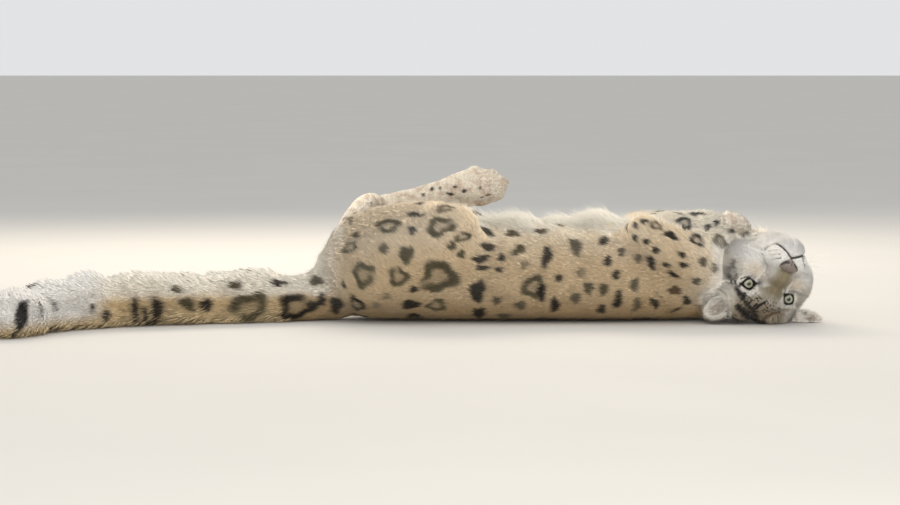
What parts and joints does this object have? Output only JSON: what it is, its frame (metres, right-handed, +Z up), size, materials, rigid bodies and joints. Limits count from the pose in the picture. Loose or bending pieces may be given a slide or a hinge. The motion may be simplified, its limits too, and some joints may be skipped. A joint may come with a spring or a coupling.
{
  "type": "snow leopard",
  "caption": "Life-size snow leopard lying on its back, legs folded up and head turned to one side, with its long thick tail laid out behind.",
  "frame": {"origin": "on the floor under the middle of the back", "axes": "+X along the body towards the head, +Y towards the animal's right side, +Z up"},
  "size_m": [1.677, 0.6228, 0.3152],
  "materials": {
    "coat": "fur",
    "pale_coat": "fur",
    "dark_coat": "fur",
    "nose_skin": "moist skin",
    "eye": "wet gloss"
  },
  "bodies": {
    "root": {"torso": "coat", "neck": "coat", "head": "pale_coat", "nose": "nose_skin", "eye_left": "eye", "ear_left": "pale_coat", "eye_right": "eye", "ear_right": "pale_coat", "thigh_left": "coat", "shank_left": "coat", "hind_foot_left": "pale_coat", "thigh_right": "coat", "shank_right": "coat", "hind_foot_right": "pale_coat", "upper_arm_left": "coat", "forearm_left": "coat", "forepaw_left": "pale_coat", "upper_arm_right": "coat", "forearm_right": "coat", "forepaw_right": "pale_coat", "tail_1": "coat", "tail_2": "coat", "tail_3": "coat", "tail_4": "dark_coat"}
  },
  "joints": []
}
